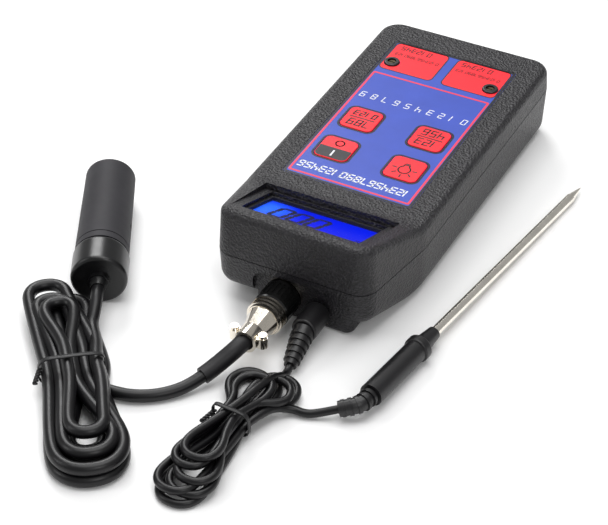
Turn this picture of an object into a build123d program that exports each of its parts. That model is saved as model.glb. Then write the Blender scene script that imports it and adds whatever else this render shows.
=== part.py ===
from build123d import *
import math
import os

# Handheld conductivity and temperature meter with two probes on leads.
# Millimetres. The meter lies on its back on z = 0. X runs across the case,
# -Y points to the display and socket end, +Y to the grip end. The origin is
# under the middle of the case.

# ---- driving dimensions: case ----
CASE_WIDTH = 78.0
CASE_LENGTH = 169.0
NOSE_WIDTH = 65.4          # case width at the socket end
NOSE_Y = -CASE_LENGTH / 2
GRIP_END_Y = CASE_LENGTH / 2
GRIP_HEIGHT = 32.5
NOSE_HEIGHT = 44.1
PARTING_Z = 22.5
HEAD_LENGTH = 38.5         # tapered head, measured from the socket end
WAIST_Y = NOSE_Y + HEAD_LENGTH
WALL = 2.3
DRAFT = 3.0                # degrees, on every side wall
FAR_CORNER_R = 9.0
WAIST_R = 24.0
NOSE_CORNER_R = 8.0
BOTTOM_EDGE_R = 6.5
TOP_EDGE_R = 3.0
RAMP_BLEND_R = 20.0       # where the flat top turns up into the head
PARTING_GAP = 0.35
LIP_DEPTH = 2.0
LIP_WALL = 1.0
FIT = 0.15                 # clearance of parts that drop into each other
GAP = 0.3                  # clearance of parts that move past each other
UNDERCUT_START = 32.0      # where the underside starts to rise, from the nose
UNDERCUT_HEIGHT = 8.0
KEEL_LEFT = -16.5
KEEL_RIGHT = 25.5
KEEL_SETBACK = 2.0
KEEL_FACE_Y = NOSE_Y + KEEL_SETBACK
KEEL_CORNER_R = 3.5
KEEL_EDGE_R = 2.5
RECESS_TOP = 19.5          # the keel's face goes this far up into the nose
RECESS_CORNER_R = 6.0
UNDERCUT_BLEND_R = 30.0    # where the flat underside turns up to the nose

# ---- driving dimensions: overlay, keys, trimmers ----
OVERLAY_WIDTH = 56.0
OVERLAY_NEAR = WAIST_Y + 8.6
OVERLAY_FAR = GRIP_END_Y - 15.7
OVERLAY_T = 0.5
OVERLAY_RECESS = 0.6
KEY_SIZE = 14.6
KEY_CORNER_R = 2.6
KEY_T = 1.3
KEY_PROUD = 0.3
KEY_TRAVEL = 0.4
KEY_COLUMN = 15.3
KEY_ROWS = (OVERLAY_NEAR + 22.8, OVERLAY_NEAR + 46.0)
KEY_STEM_R = 2.0
TRIM_X = 22.7
TRIM_Y = OVERLAY_FAR - 15.8
TRIM_RING_R = 3.3
TRIM_SCREW_R = 1.6
TRIM_RING_PROUD = 0.8

# ---- driving dimensions: display ----
BEZEL_WIDTH = 58.0
BEZEL_FAR = WAIST_Y - 3.5
BEZEL_NEAR = NOSE_Y + 6.5
BEZEL_DEPTH = 2.5          # below the ramp at the far edge, zero at the near
WINDOW_WIDTH = 50.0
WINDOW_LENGTH = 27.0
WINDOW_T = 1.5
GASKET_T = 1.5
GASKET_RIM = 1.2
LCD_WIDTH = 50.0
LCD_LENGTH = 27.0
LCD_T = 2.8
BACKLIGHT_T = 3.0

# ---- driving dimensions: inside ----
BOARD_Z = GRIP_HEIGHT - 7.9
BOARD_T = 1.6
BOARD_WIDTH = 54.0
BOARD_NEAR = WAIST_Y
BOARD_FAR = GRIP_END_Y - 20.5
SWITCH_SIZE = 6.0
SWITCH_H = 2.8
BATTERY = (26.5, 48.5, 17.5)
BATTERY_Y = GRIP_END_Y - 38.5
BATTERY_Z = 4.6
BATTERY_EDGE_R = 2.2
DOOR_WIDTH = BATTERY[0] + 6.5
DOOR_NEAR = BATTERY_Y - 27.0
POST_R = 4.0
SCREW_R = 1.5
SCREW_HEAD_R = 2.9
SCREW_X = CASE_WIDTH / 2 - 8.0
SCREW_ROWS = (WAIST_Y + 12.0, GRIP_END_Y - 13.5)
BOARD_SCREW_X = BOARD_WIDTH / 2 - 3.5
BOARD_SCREW_ROWS = (BOARD_NEAR + 4.0, BOARD_FAR - 4.0)

# ---- driving dimensions: sockets and plugs ----
ROUND_X = -3.0
ROUND_Z = 11.5
ROUND_BARREL_R = 6.0
ROUND_FLANGE_R = 7.5
ROUND_FLANGE_T = 1.5
COUPLING_R = 7.6
COUPLING_LENGTH = 10.8
PLUG_RING_R = 7.4
PLUG_RINGS = 3
PLUG_RING_PITCH = 1.9
PLUG_CONE_R = 6.3
PLUG_FLATS = 6
PLUG_LENGTH = 33.0         # panel to the end of the cable clamp
CLAMP_LENGTH = 6.5
CLAMP_R = 4.7
CLAMP_SCREW_X = 6.0
EAR_R = 1.9
EAR_T = 2.2                # half the height of the clamp's ears
JACK_X = 12.0
JACK_Z = 8.5
JACK_PIN_R = 1.75
JACK_BODY_R = 5.2
JACK_BODY_LENGTH = 12.5
JACK_SOCKET_R = 3.2
PULL = 14.0                # travel that frees the jack plug

# ---- driving dimensions: conductivity lead and probe ----
# Places on the leads are (x, y, z), with y measured from the panel's face.
CORD_D = 5.0
CORD_LIE = CORD_D / 2 + 0.1    # height of a cable's middle where it lies on the table
SHRINK_WALL = 0.9
SLEEVE_TUBE_R = CORD_D / 2 + SHRINK_WALL
SHRINK_CORNERS = 2         # corners of the route that the shrink tube covers
SINGLE_ROUTE = (
    (ROUND_X, 4.5 - PLUG_LENGTH, ROUND_Z),
    (-4.6, -36.0, 10.3),
    (-8.9, -44.5, 6.4),
    (-14.2, -56.0, 3.2),
    (-21.0, -64.3, CORD_LIE),
    (-29.6, -69.7, CORD_LIE),
    (-37.9, -71.7, 3.0),
)
HANK_A_FAR = (-79.5, -43.5)
HANK_A_NEAR = (-31.3, -105.5)
HANK_A_R_FAR = 10.5
HANK_A_R_NEAR = 17.0
HANK_A_H = 13.0
HANK_A = (HANK_A_FAR, HANK_A_NEAR, HANK_A_R_FAR, HANK_A_R_NEAR, HANK_A_H)
HANK_A_TIE = 0.474         # place of the tie, as a share of the way from far to near
TIE_WIDTH = 2.0
TIE_T = 0.8
PROBE_R = 11.2
PROBE_NEAR = (-71.0, -26.2)
PROBE_FAR = (-101.4, 33.1)
PROBE_BODY_LENGTH = 15.0
PROBE_STEM_R = 8.3
PROBE_STEM_LENGTH = 12.0
COVER_R_NEAR = 10.8
COVER_R_FAR = 10.2
COVER_WALL = 1.9
VENT_R = 2.0
GLAND_R = 4.2
GLAND_LENGTH = 5.0
TAIL_A_ROUTE = (
    (-68.7, -30.7, PROBE_R),
    (-66.2, -35.6, PROBE_R),
    (-64.0, -41.1, 9.2),
    (-62.6, -45.9, 6.8),
)

# ---- driving dimensions: temperature lead and probe ----
WIRE_D = 3.2
RELIEF_END = (14.4, -29.7, 4.2)
LEAD_B_ROUTE = (
    RELIEF_END,
    (15.1, -34.4, 2.9),
)
HANK_B_FAR = (11.5, -47.5)
HANK_B_NEAR = (9.5, -102.0)
HANK_B_R_FAR = 14.0
HANK_B_R_NEAR = 9.5
HANK_B_H = 8.5
HANK_B = (HANK_B_FAR, HANK_B_NEAR, HANK_B_R_FAR, HANK_B_R_NEAR, HANK_B_H)
HANK_B_TIE = 0.36
TAIL_B_ROUTE = (
    (25.5, -49.1, 2.8),
    (31.0, -48.7, 1.9),
    (36.3, -46.0, 2.85),
    (41.6, -43.1, 4.4),
)
NEEDLE_TIP = (68.7, 127.6, 2.0)
NEEDLE_ROOT = (54.8, 11.4, 5.1)
NEEDLE_R = 2.0
NEEDLE_SEAT_R = 1.8        # reduced end that is moulded into the handle
NEEDLE_SEAT = 6.0
NEEDLE_BORE_R = 1.4
NEEDLE_POINT = 9.0
HANDLE_R = 4.6
HANDLE_LENGTH = 31.0
COLLAR_R = 5.25
COLLAR_LENGTH = 4.0
NOSE_LENGTH = 9.5
RELIEF_B_R = 3.1


# ---- helpers ----
def box(x0, x1, y0, y1, z0, z1):
    centre = Pos((x0 + x1) / 2, (y0 + y1) / 2, (z0 + z1) / 2)
    return centre * Box(x1 - x0, y1 - y0, z1 - z0)


def rod_z(x, y, z0, z1, radius):
    return Pos(x, y, (z0 + z1) / 2) * Cylinder(radius, z1 - z0)


def rod_y(x, z, y0, y1, radius):
    middle = Pos(x, (y0 + y1) / 2, z)
    return middle * Rot(90, 0, 0) * Cylinder(radius, abs(y1 - y0))


def rod_along(start, direction, length, radius, end_radius=None):
    """A round bar or cone from a point along a direction."""
    plane = Plane(origin=start, z_dir=direction)
    if end_radius is None or end_radius == radius:
        solid = Cylinder(radius, length)
    else:
        solid = Cone(radius, end_radius, length)
    return plane.location * Pos(0, 0, length / 2) * solid


def from_panel(place):
    """A place on a lead as a point in the whole object's frame."""
    x, y, *rest = place
    return (x, y + KEEL_FACE_Y, *rest)


def rounded_plate(size_x, size_y, radius, thickness):
    return extrude(RectangleRounded(size_x, size_y, radius), amount=thickness)


def side_prism(points, half_width):
    """A prism across the case from an outline of (y, z) points."""
    outline = Polyline(*points, close=True)
    return extrude(Plane.YZ * make_face(outline), amount=half_width, both=True)


def corner_radii(points):
    """The largest arc at each corner: 0.45 of the shorter run beside it."""
    runs = [Vector(*b) - Vector(*a) for a, b in zip(points, points[1:])]
    radii = []
    for before, after in zip(runs, runs[1:]):
        half_turn = math.radians(before.get_angle(after)) / 2
        radii.append(0.45 * min(before.length, after.length) / math.tan(half_turn))
    return radii


def tube_path(points, radii):
    """Straight runs joined by arcs."""
    if not radii:
        return Line(*points)
    return FilletPolyline(*points, radius=radii)


def sweep_round(path, radius, bore=0.0):
    start = Plane(origin=path @ 0, z_dir=path % 0)
    section = Circle(radius) - Circle(bore) if bore else Circle(radius)
    return sweep(start * section, path=path)


def tube(name, route, diameter):
    points = [from_panel(place) for place in route]
    radii = corner_radii(points)
    path = tube_path(points, radii)
    solid = sweep_round(path, diameter / 2)
    expected = math.pi * diameter ** 2 / 4 * path.length
    shown = ", ".join(f"{r:.1f}" for r in radii)
    ratio = solid.volume / expected
    print(f"{name}: length {path.length:.1f}, radii {shown}, volume ratio {ratio:.4f}")
    return solid


def hank(far, near, far_r, near_r, height):
    """The outer shape of a tied bundle of long turns lying on the ground."""
    a = Vector(*from_panel(far))
    b = Vector(*from_panel(near))
    outline = Pos(a.X, a.Y) * Circle(far_r) + Pos(b.X, b.Y) * Circle(near_r)
    side = Vector(-(b - a).Y, (b - a).X).normalized()
    corners = (a + side * far_r, b + side * near_r, b - side * near_r, a - side * far_r)
    outline += make_face(Polyline(*[(c.X, c.Y) for c in corners], close=True))
    solid = extrude(outline, amount=height)
    top = solid.faces().sort_by(Axis.Z)[-1]
    return fillet(top.edges(), height * 0.3)


def one(shape):
    """The single solid of a result that may be wrapped in a compound."""
    solids = shape.solids()
    return solids[0] if len(solids) == 1 else Compound(solids)


# ---- derived sizes: case ----
RAMP_SLOPE = (NOSE_HEIGHT - GRIP_HEIGHT) / HEAD_LENGTH
UNDERCUT_Y = NOSE_Y + UNDERCUT_START
UNDERCUT_SLOPE = UNDERCUT_HEIGHT / UNDERCUT_START
TOP_SHELL_Z = PARTING_Z + PARTING_GAP
BEZEL_FAR_Z = GRIP_HEIGHT + RAMP_SLOPE * (WAIST_Y - BEZEL_FAR) - BEZEL_DEPTH
BEZEL_NEAR_Z = GRIP_HEIGHT + RAMP_SLOPE * (WAIST_Y - BEZEL_NEAR)
BEZEL_TILT = math.atan2(BEZEL_NEAR_Z - BEZEL_FAR_Z, BEZEL_FAR - BEZEL_NEAR)
BEZEL_PLANE = Plane(
    origin=(0, (BEZEL_FAR + BEZEL_NEAR) / 2, (BEZEL_FAR_Z + BEZEL_NEAR_Z) / 2),
    x_dir=(1, 0, 0),
    z_dir=(0, math.sin(BEZEL_TILT), math.cos(BEZEL_TILT)),
)
BEZEL_LENGTH = math.hypot(BEZEL_FAR - BEZEL_NEAR, BEZEL_NEAR_Z - BEZEL_FAR_Z)
OVERLAY_LENGTH = OVERLAY_FAR - OVERLAY_NEAR
OVERLAY_Y = (OVERLAY_FAR + OVERLAY_NEAR) / 2
OVERLAY_FLOOR = GRIP_HEIGHT - OVERLAY_RECESS
OVERLAY_TOP = OVERLAY_FLOOR + OVERLAY_T
KEY_TOP = OVERLAY_TOP + KEY_PROUD
KEY_BOTTOM = KEY_TOP - KEY_T
BOARD_TOP = BOARD_Z + BOARD_T
SWITCH_TOP = BOARD_TOP + SWITCH_H
SCREW_PLACES = [(x, y) for y in SCREW_ROWS for x in (-SCREW_X, SCREW_X)]
BOARD_SCREWS = [(x, y) for y in BOARD_SCREW_ROWS for x in (-BOARD_SCREW_X, BOARD_SCREW_X)]
KEYS = {
    "key_power": (-KEY_COLUMN, KEY_ROWS[0]),
    "key_mode": (-KEY_COLUMN, KEY_ROWS[1]),
    "key_light": (KEY_COLUMN, KEY_ROWS[0]),
    "key_unit": (KEY_COLUMN, KEY_ROWS[1]),
}
DOOR_LEDGE = 1.4
DOOR_LEDGE_Z = 1.2


def inset_plan(inset):
    """The case outline at the parting line, drawn inward by an inset."""
    half = CASE_WIDTH / 2 - inset
    nose = NOSE_WIDTH / 2 - inset
    near = NOSE_Y + inset
    far = GRIP_END_Y - inset
    right = [(nose, near), (half, WAIST_Y), (half, far)]
    left = [(-x, y) for x, y in reversed(right)]
    face = make_face(Polyline(*right, *left, close=True))
    for y, radius in ((far, FAR_CORNER_R), (WAIST_Y, WAIST_R), (near, NOSE_CORNER_R)):
        corners = [v for v in face.vertices() if abs(v.Y - y) < 0.01]
        face = fillet(corners, radius - inset)
    return face


def case_lower(inset, edge_r):
    """The lower half of the case: tapered, rising to the nose, with its keel."""
    block = extrude(inset_plan(inset), amount=PARTING_Z - inset, taper=DRAFT)
    block = Pos(0, 0, PARTING_Z) * mirror(block, about=Plane.XY)
    block -= undercut(inset)
    crease = [e for e in block.edges() if is_on_line(e, UNDERCUT_Y, inset)]
    block = fillet(crease, UNDERCUT_BLEND_R)
    rim = [e for e in block.edges() if is_bottom_rim(e, inset)]
    block = fillet(rim, edge_r)
    return block + keel(inset)


def is_on_line(edge, y, z):
    """True for the edge that runs across the case at this y and z."""
    middle = edge.center()
    return abs(middle.X) < 1 and abs(middle.Y - y) < 0.1 and abs(middle.Z - z) < 0.1


def is_bottom_rim(edge, inset):
    """True for the edges round the underside, without its lines across."""
    middle = edge.center()
    level = inset + max(0.0, UNDERCUT_SLOPE * (UNDERCUT_Y - middle.Y))
    across = abs(middle.X) < 1 and NOSE_Y + inset + 3 < middle.Y < GRIP_END_Y - 5
    return middle.Z < level + 0.6 and not across


def case_upper(inset, edge_r):
    """The upper half of the case as a block that tapers upward to the ramp."""
    height = NOSE_HEIGHT + 5 - PARTING_Z
    block = Pos(0, 0, PARTING_Z) * extrude(inset_plan(inset), amount=height, taper=DRAFT)
    top = GRIP_HEIGHT - inset
    over = NOSE_Y - 5
    above = side_prism(
        (
            (GRIP_END_Y + 5, top),
            (GRIP_END_Y + 5, NOSE_HEIGHT + 20),
            (over, NOSE_HEIGHT + 20),
            (over, top + RAMP_SLOPE * (WAIST_Y - over)),
            (WAIST_Y, top),
        ),
        CASE_WIDTH,
    )
    block -= above
    crease = [e for e in block.edges() if abs(e.center().Y - WAIST_Y) < 0.1 and abs(e.center().X) < 1]
    block = fillet(crease, RAMP_BLEND_R)
    if edge_r:
        rim = [e for e in block.edges() if e.center().Z > top - 0.01 and not is_ramp_seam(e)]
        block = fillet(rim, edge_r)
    return block


def is_ramp_seam(edge):
    """True for the two lines where the ramp's blend meets the flat faces."""
    return abs(edge.center().X) < 1 and abs(edge.center().Y - WAIST_Y) < HEAD_LENGTH / 2


def undercut(depth):
    """What the rising underside takes away in front of the flat base."""
    near = NOSE_Y - 5
    start = UNDERCUT_Y
    points = (
        (start, depth),
        (near, depth + UNDERCUT_SLOPE * (start - near)),
        (near, -30),
        (start, -30),
    )
    return side_prism(points, CASE_WIDTH)


def keel(inset):
    """The block under the nose that carries the sockets down to the table."""
    width = KEEL_RIGHT - KEEL_LEFT - 2 * inset
    near = KEEL_FACE_Y + inset
    length = UNDERCUT_Y + 4 - near
    middle = Pos((KEEL_LEFT + KEEL_RIGHT) / 2, near + length / 2, inset)
    block = middle * extrude(Rectangle(width, length), amount=UNDERCUT_HEIGHT + KEEL_SETBACK)
    corners = [e for e in block.edges().filter_by(Axis.Z) if e.center().Y < near + 1]
    block = fillet(corners, KEEL_CORNER_R)
    low = block.faces().sort_by(Axis.Z)[0].edges()
    return fillet([e for e in low if e.center().Y < UNDERCUT_Y], KEEL_EDGE_R)


def keel_front(depth):
    """The recess over the keel's face, with rounded upper corners."""
    width = KEEL_RIGHT - KEEL_LEFT - 2 * depth
    height = RECESS_TOP + 20
    middle = Pos((KEEL_LEFT + KEEL_RIGHT) / 2, KEEL_FACE_Y + depth, (RECESS_TOP - 20) / 2 + depth)
    face = Plane.XZ * RectangleRounded(width, height, RECESS_CORNER_R)
    return middle * extrude(face, amount=12)


def bottom_shell():
    outer = case_lower(0, BOTTOM_EDGE_R) - keel_front(0)
    inner = case_lower(WALL, BOTTOM_EDGE_R - WALL) - keel_front(WALL)
    shell = outer - inner
    rebate = Pos(0, 0, PARTING_Z - LIP_DEPTH - FIT) * extrude(inset_plan(LIP_WALL), amount=LIP_DEPTH + 1)
    shell -= rebate
    for x, y in SCREW_PLACES:
        shell += rod_z(x, y, 1.0, PARTING_Z - LIP_DEPTH, POST_R) & outer
    for x, y in BOARD_SCREWS:
        if y == BOARD_SCREW_ROWS[0]:
            shell += rod_z(x, y, 1.0, BOARD_Z - 4.0, POST_R - 1) & outer
    for x, y in SCREW_PLACES:
        shell -= rod_z(x, y, -1, PARTING_Z, SCREW_R + GAP)
        shell -= rod_z(x, y, -1, 4.5, SCREW_HEAD_R + GAP)
    shell += battery_tray() & outer
    shell -= door_opening()
    shell -= rod_y(ROUND_X, ROUND_Z, NOSE_Y - 1, KEEL_FACE_Y + WALL + 1, ROUND_BARREL_R + FIT)
    shell -= rod_y(JACK_X, JACK_Z, NOSE_Y - 1, KEEL_FACE_Y + WALL + 1, JACK_SOCKET_R + FIT)
    return shell


def battery_tray():
    """Ribs on both sides of the battery and behind it, open at the snap."""
    bx, by, _ = BATTERY
    x = bx / 2 + FIT
    y0 = BATTERY_Y - by / 2 - FIT
    y1 = BATTERY_Y + by / 2 + FIT
    foot = DOOR_WIDTH / 2 + 2.0
    rim = box(-foot, foot, y0, y1 + 1.5, 2.0, 14.0)
    return rim - box(-x, x, y0 - 1, y1, 1.0, 15.0)


def door_opening():
    half = DOOR_WIDTH / 2
    low = box(-half + DOOR_LEDGE, half - DOOR_LEDGE, DOOR_NEAR, GRIP_END_Y + 1, -1, 3.2)
    high = box(-half, half, DOOR_NEAR, GRIP_END_Y + 1, DOOR_LEDGE_Z, 2 * DOOR_LEDGE_Z + GAP)
    return low + high


def battery_door():
    """A plate with side tongues that slides out of the grip end."""
    half = DOOR_WIDTH / 2 - GAP
    low = box(-half + DOOR_LEDGE, half - DOOR_LEDGE, DOOR_NEAR + GAP, GRIP_END_Y + 1, -1, 2 * DOOR_LEDGE_Z)
    high = box(-half, half, DOOR_NEAR + GAP, GRIP_END_Y + 1, DOOR_LEDGE_Z + GAP, 2 * DOOR_LEDGE_Z)
    door = (low + high) & case_lower(0, BOTTOM_EDGE_R)
    for step in range(5):
        y = GRIP_END_Y - 14 - 2.5 * step
        door -= box(-8, 8, y - 0.5, y + 0.5, -1, 0.5)
    return door


def display_boss():
    slab = Pos(0, 0, -3) * Box(BEZEL_WIDTH + 2 * WALL, BEZEL_LENGTH + 2 * WALL, 6)
    return BEZEL_PLANE.location * slab


def top_shell():
    outer = case_upper(0, TOP_EDGE_R) - box(-99, 99, -99, 99, 0, TOP_SHELL_Z)
    inner = case_upper(WALL, 0)
    shell = outer - inner
    shell += display_boss() & outer
    lip = inset_plan(LIP_WALL + FIT) - inset_plan(WALL)
    shell += Pos(0, 0, PARTING_Z - LIP_DEPTH) * extrude(lip, amount=LIP_DEPTH + 2)
    for x, y in SCREW_PLACES:
        shell += rod_z(x, y, PARTING_Z - LIP_DEPTH, GRIP_HEIGHT - WALL + 0.5, POST_R) & (outer + inner)
        shell -= rod_z(x, y, PARTING_Z - LIP_DEPTH - 1, GRIP_HEIGHT - WALL - 1, SCREW_R - 0.25)
    for x, y in BOARD_SCREWS:
        shell += rod_z(x, y, BOARD_TOP, GRIP_HEIGHT - WALL + 0.5, POST_R - 1)
        shell -= rod_z(x, y, BOARD_TOP - 1, GRIP_HEIGHT - WALL, 1.0)
    pocket = Pos(0, 0, 10) * Box(BEZEL_WIDTH, BEZEL_LENGTH, 20)
    shell -= BEZEL_PLANE.location * pocket
    seat = rounded_plate(WINDOW_WIDTH + 2 * FIT, WINDOW_LENGTH + 2 * FIT, 1.2, WINDOW_T + 1)
    shell -= BEZEL_PLANE.location * Pos(0, 0, -WINDOW_T) * seat
    room = Pos(0, 0, -10) * Box(LCD_WIDTH + 2 * FIT, LCD_LENGTH + 2 * FIT, 20)
    shell -= BEZEL_PLANE.location * room
    recess = rounded_plate(OVERLAY_WIDTH + 2 * FIT, OVERLAY_LENGTH + 2 * FIT, 1.5, 3)
    shell -= Pos(0, OVERLAY_Y, OVERLAY_FLOOR) * recess
    for x, y in KEYS.values():
        side = KEY_SIZE + 2 * GAP
        floor = KEY_BOTTOM - KEY_TRAVEL - GAP / 2
        shell -= Pos(x, y, floor) * rounded_plate(side, side, KEY_CORNER_R + GAP, 3)
        shell -= rod_z(x, y, BOARD_TOP, KEY_TOP, KEY_STEM_R + GAP)
    for x in (-TRIM_X, TRIM_X):
        shell -= rod_z(x, TRIM_Y, BOARD_TOP, KEY_TOP, TRIM_RING_R - 0.9)
    return shell


def case_screws():
    """Four pan-head screws that pull the shells together from below."""
    screws = []
    for x, y in SCREW_PLACES:
        shank = rod_z(x, y, 4.5, GRIP_HEIGHT - WALL - 2, SCREW_R - 0.25)
        head = rod_z(x, y, 2.3, 4.5, SCREW_HEAD_R)
        slot = box(x - 2.0, x + 2.0, y - 0.35, y + 0.35, 2.2, 3.2)
        cross = box(x - 0.35, x + 0.35, y - 2.0, y + 2.0, 2.2, 3.2)
        screws.append(one(shank + head - slot - cross))
    return Compound(screws)


def membrane_overlay():
    sheet = Pos(0, OVERLAY_Y, OVERLAY_FLOOR) * rounded_plate(OVERLAY_WIDTH, OVERLAY_LENGTH, 1.2, OVERLAY_T)
    for x, y in KEYS.values():
        side = KEY_SIZE + 2 * GAP
        sheet -= Pos(x, y, OVERLAY_FLOOR - 1) * rounded_plate(side, side, KEY_CORNER_R + GAP, 3)
    for x in (-TRIM_X, TRIM_X):
        sheet -= rod_z(x, TRIM_Y, OVERLAY_FLOOR - 1, OVERLAY_TOP + 1, TRIM_RING_R + FIT)
    return sheet


def key(x, y):
    cap = Pos(x, y, KEY_BOTTOM) * rounded_plate(KEY_SIZE, KEY_SIZE, KEY_CORNER_R, KEY_T)
    rim = cap.faces().sort_by(Axis.Z)[-1].edges()
    cap = fillet(rim, KEY_PROUD)
    stem = rod_z(x, y, SWITCH_TOP + KEY_TRAVEL + 0.05, KEY_BOTTOM + 0.2, KEY_STEM_R)
    return cap + stem


def trimmer_rings():
    rings = []
    for x in (-TRIM_X, TRIM_X):
        ring = rod_z(x, TRIM_Y, OVERLAY_FLOOR, OVERLAY_TOP + TRIM_RING_PROUD, TRIM_RING_R)
        rim = ring.faces().sort_by(Axis.Z)[-1].edges()
        ring = fillet(rim, 0.5) - rod_z(x, TRIM_Y, OVERLAY_FLOOR - 1, KEY_TOP + 2, TRIM_SCREW_R + GAP)
        rings.append(one(ring))
    return Compound(rings)


def trimmer_bodies():
    bodies = []
    for x in (-TRIM_X, TRIM_X):
        cube = box(x - 3.2, x + 3.2, TRIM_Y - 3.2, TRIM_Y + 3.2, BOARD_TOP, OVERLAY_FLOOR - WALL - 0.2)
        well = rod_z(x, TRIM_Y, BOARD_TOP + 2.0, OVERLAY_FLOOR, TRIM_SCREW_R + 0.08)
        bodies.append(one(cube - well))
    return Compound(bodies)


def trimmer_screw(x):
    screw = rod_z(x, TRIM_Y, BOARD_TOP + 2.05, OVERLAY_TOP + 0.2, TRIM_SCREW_R)
    return screw - box(x - 2, x + 2, TRIM_Y - 0.3, TRIM_Y + 0.3, OVERLAY_TOP - 0.6, OVERLAY_TOP + 1)


def display_window():
    plate = Pos(0, 0, -WINDOW_T) * rounded_plate(WINDOW_WIDTH, WINDOW_LENGTH, 1.0, WINDOW_T - 0.2)
    return BEZEL_PLANE.location * plate


def display_gasket():
    """The black frame between the window and the display glass."""
    outer = rounded_plate(WINDOW_WIDTH, WINDOW_LENGTH, 1.0, GASKET_T)
    inner = Box(WINDOW_WIDTH - 2 * GASKET_RIM, WINDOW_LENGTH - 2 * GASKET_RIM, 3 * GASKET_T)
    return BEZEL_PLANE.location * Pos(0, 0, -WINDOW_T - GASKET_T) * (outer - inner)


def display_stack(depth, thickness, width, length):
    """A flat layer of the display, at a depth under the bezel floor."""
    plate = Pos(0, 0, -depth - thickness / 2) * Box(width, length, thickness)
    return BEZEL_PLANE.location * plate


LCD_DEPTH = WINDOW_T + GASKET_T
BACKLIGHT_DEPTH = LCD_DEPTH + LCD_T
CARRIER_DEPTH = BACKLIGHT_DEPTH + BACKLIGHT_T


def main_board():
    half = BOARD_WIDTH / 2
    board = box(-half, half, BOARD_NEAR, BOARD_FAR, BOARD_Z, BOARD_TOP)
    for x, y in BOARD_SCREWS:
        board -= rod_z(x, y, BOARD_Z - 1, BOARD_TOP + 1, 1.2)
    return board


def board_screws():
    screws = []
    for x, y in BOARD_SCREWS:
        shank = rod_z(x, y, BOARD_Z, GRIP_HEIGHT - WALL - 1, 1.0)
        head = rod_z(x, y, BOARD_Z - 1.4, BOARD_Z, 2.1)
        slot = box(x - 1.5, x + 1.5, y - 0.3, y + 0.3, BOARD_Z - 1.5, BOARD_Z - 0.9)
        screws.append(one(head + shank - slot))
    return Compound(screws)


def tact_switches():
    half = SWITCH_SIZE / 2
    switches = []
    for x, y in KEYS.values():
        body = box(x - half, x + half, y - half, y + half, BOARD_TOP, SWITCH_TOP - 0.5)
        button = rod_z(x, y, SWITCH_TOP - 0.5, SWITCH_TOP, 1.7)
        switches.append(one(body + button))
    return Compound(switches)


def board_chips():
    """The measuring chip, the controller and the regulator under the board."""
    low = BOARD_Z - 1.6
    chips = [
        box(-7, 7, -30, -16, low, BOARD_Z),
        box(-19, -13, -6, 4, low, BOARD_Z),
        box(12, 18, 2, 10, low, BOARD_Z),
    ]
    return Compound([one(c) for c in chips])


def battery_case():
    bx, by, bz = BATTERY
    block = Pos(0, BATTERY_Y, BATTERY_Z + bz / 2) * Box(bx, by, bz)
    return fillet(block.edges().filter_by(Axis.Y), BATTERY_EDGE_R)


def battery_studs():
    """The two snap contacts, one plain and one hexagonal."""
    y = BATTERY_Y - BATTERY[1] / 2
    z = BATTERY_Z + BATTERY[2] / 2
    round_stud = rod_y(-6.35, z, y - 2.6, y, 2.8)
    hexagon = Plane.XZ * RegularPolygon(4.2, 6)
    hex_stud = Pos(6.35, y, z) * extrude(hexagon, amount=2.6)
    return Compound([one(round_stud), one(hex_stud)])


def battery_snap():
    y = BATTERY_Y - BATTERY[1] / 2
    z = BATTERY_Z + BATTERY[2] / 2
    strap = box(-12.5, 12.5, y - 4.6, y - FIT, z - 6.0, z + 6.0)
    strap -= rod_y(-6.35, z, y - 3.0, y, 3.0)
    strap -= rod_y(6.35, z, y - 3.0, y, 4.4)
    return strap


def battery_leads():
    """Two insulated wires from the snap up to the main board."""
    y = BATTERY_Y - BATTERY[1] / 2 - 4.6
    z = BATTERY_Z + BATTERY[2] / 2
    wires = []
    for x in (-3.0, 3.0):
        points = ((x, y, z + 3), (x, y - 4, z + 3), (x, y - 7, z + 6), (x, y - 7, BOARD_Z))
        wires.append(one(sweep_round(tube_path(points, corner_radii(points)), 0.6)))
    return Compound(wires)


def battery_pad():
    """Foam between the battery and the board."""
    z = BATTERY_Z + BATTERY[2]
    return box(-10, 10, BATTERY_Y - 18, BATTERY_Y + 14, z, BOARD_Z)


# ---- sockets ----
def round_socket():
    """The panel half of the round connector, hollow for its insert."""
    y = KEEL_FACE_Y
    barrel = rod_y(ROUND_X, ROUND_Z, y - 8.5, y + 9.0, ROUND_BARREL_R)
    flange = rod_y(ROUND_X, ROUND_Z, y - ROUND_FLANGE_T, y, ROUND_FLANGE_R)
    return barrel + flange - rod_y(ROUND_X, ROUND_Z, y - 9, y + 9.5, 4.9)


def round_socket_insert():
    y = KEEL_FACE_Y
    return rod_y(ROUND_X, ROUND_Z, y, y + 9.0, 4.85)


def hex_nut(x, z, y0, y1, across, bore_r):
    hexagon = Plane.XZ * RegularPolygon(across / math.sqrt(3), 6)
    body = Pos(x, y1, z) * extrude(hexagon, amount=y1 - y0)
    return body - rod_y(x, z, y0 - 1, y1 + 1, bore_r)


def round_socket_nut():
    y = KEEL_FACE_Y + WALL
    return hex_nut(ROUND_X, ROUND_Z, y, y + 2.5, 14.0, ROUND_BARREL_R + 0.02)


def jack_socket():
    y = KEEL_FACE_Y
    body = box(JACK_X - 4.6, JACK_X + 4.6, y + WALL + 2.2, y + 17.5, JACK_Z - 4.6, JACK_Z + 5.0)
    neck = rod_y(JACK_X, JACK_Z, y - 1.2, y + WALL + 2.2, JACK_SOCKET_R)
    return body + neck - rod_y(JACK_X, JACK_Z, y - 2, y + 16.5, JACK_PIN_R + 0.08)


def jack_socket_nut():
    y = KEEL_FACE_Y + WALL
    return hex_nut(JACK_X, JACK_Z, y, y + 2.0, 8.2, JACK_SOCKET_R + 0.02)


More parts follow.
